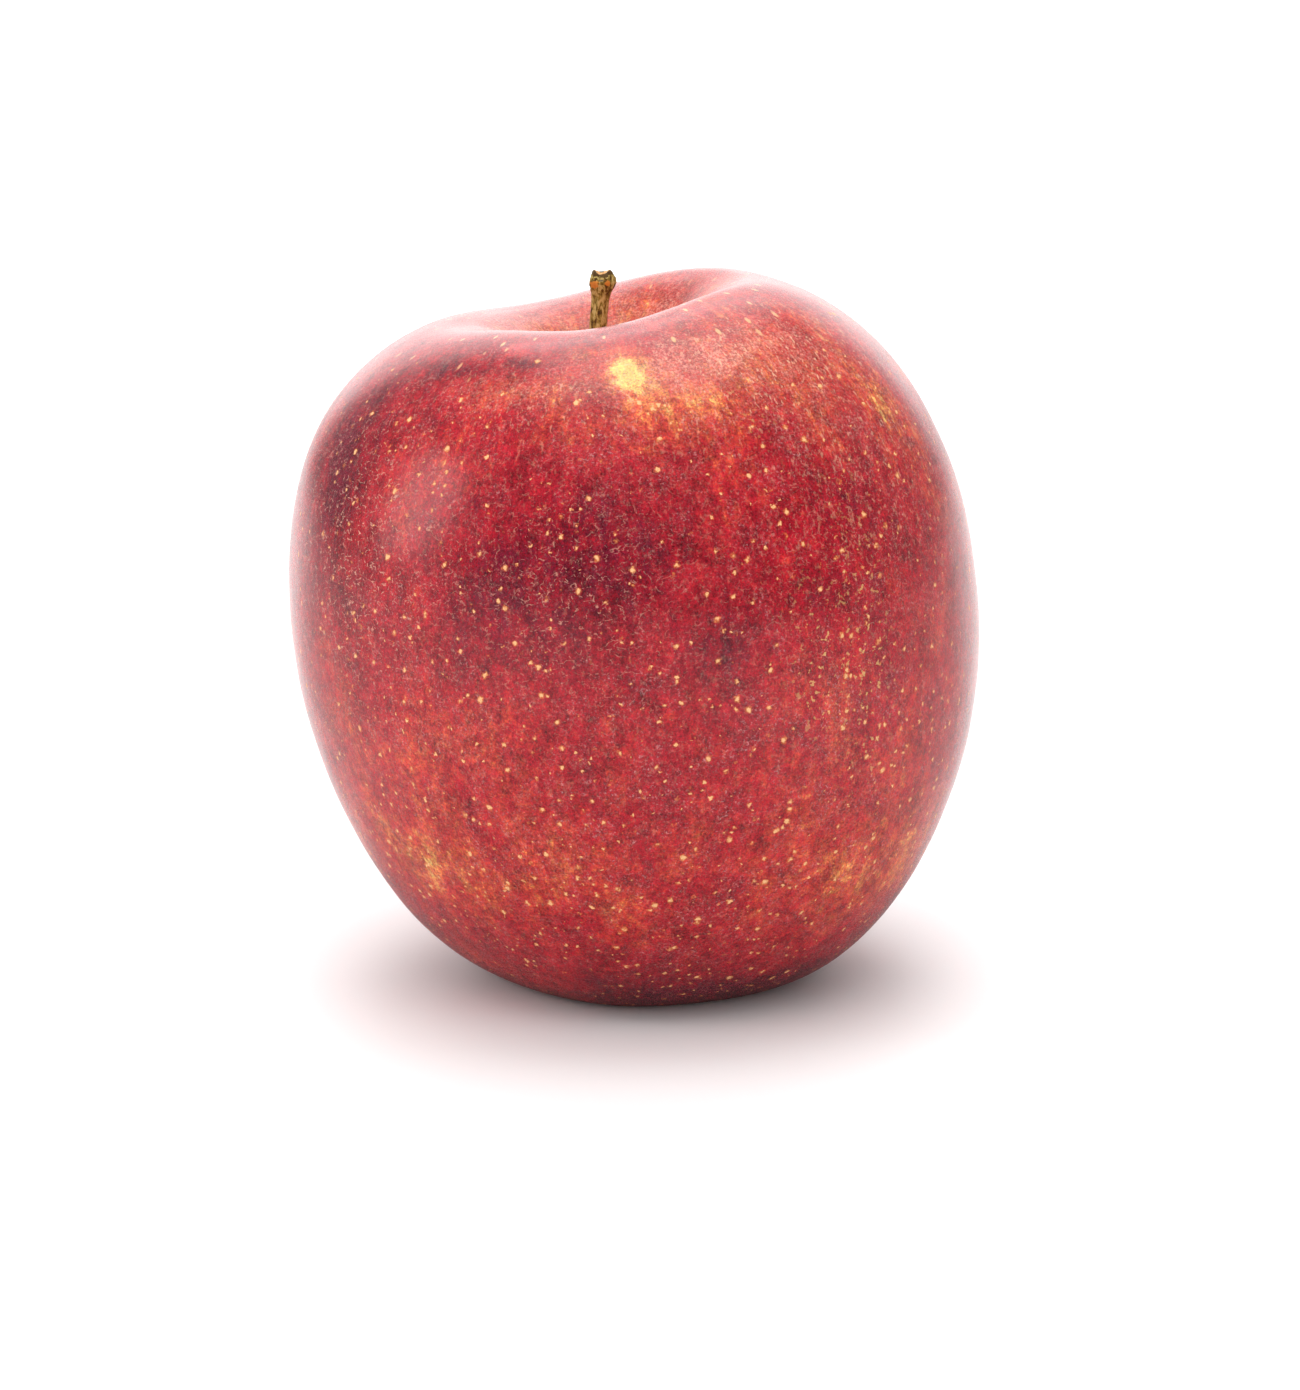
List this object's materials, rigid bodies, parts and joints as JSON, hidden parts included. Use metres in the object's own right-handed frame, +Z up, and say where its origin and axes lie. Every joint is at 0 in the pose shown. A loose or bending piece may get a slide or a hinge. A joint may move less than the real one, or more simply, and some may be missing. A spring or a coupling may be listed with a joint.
{
  "type": "apple",
  "caption": "Ripe red dessert apple, whole, standing on its foot, with a short woody stalk and a dried calyx underneath.",
  "frame": {"origin": "in the plane that the foot rests on, under the middle of the whole apple's box", "axes": "+Z up, from the resting foot towards the stalk; -Y is the side with the yellow patch, facing the viewer; +X is the fuller, higher side"},
  "size_m": [0.0804, 0.0804, 0.0833],
  "materials": {
    "skin": "waxy red fruit skin with pale speckles",
    "stalk": "rough olive-brown bark",
    "sepal": "dry, downy, grey-brown",
    "stamen": "dry, dark brown"
  },
  "bodies": {
    "root": {"fruit": "skin", "stem": "stalk", "sepal_1": "sepal", "sepal_2": "sepal", "sepal_3": "sepal", "sepal_4": "sepal", "sepal_5": "sepal", "dried_stamens": "stamen"}
  },
  "joints": []
}
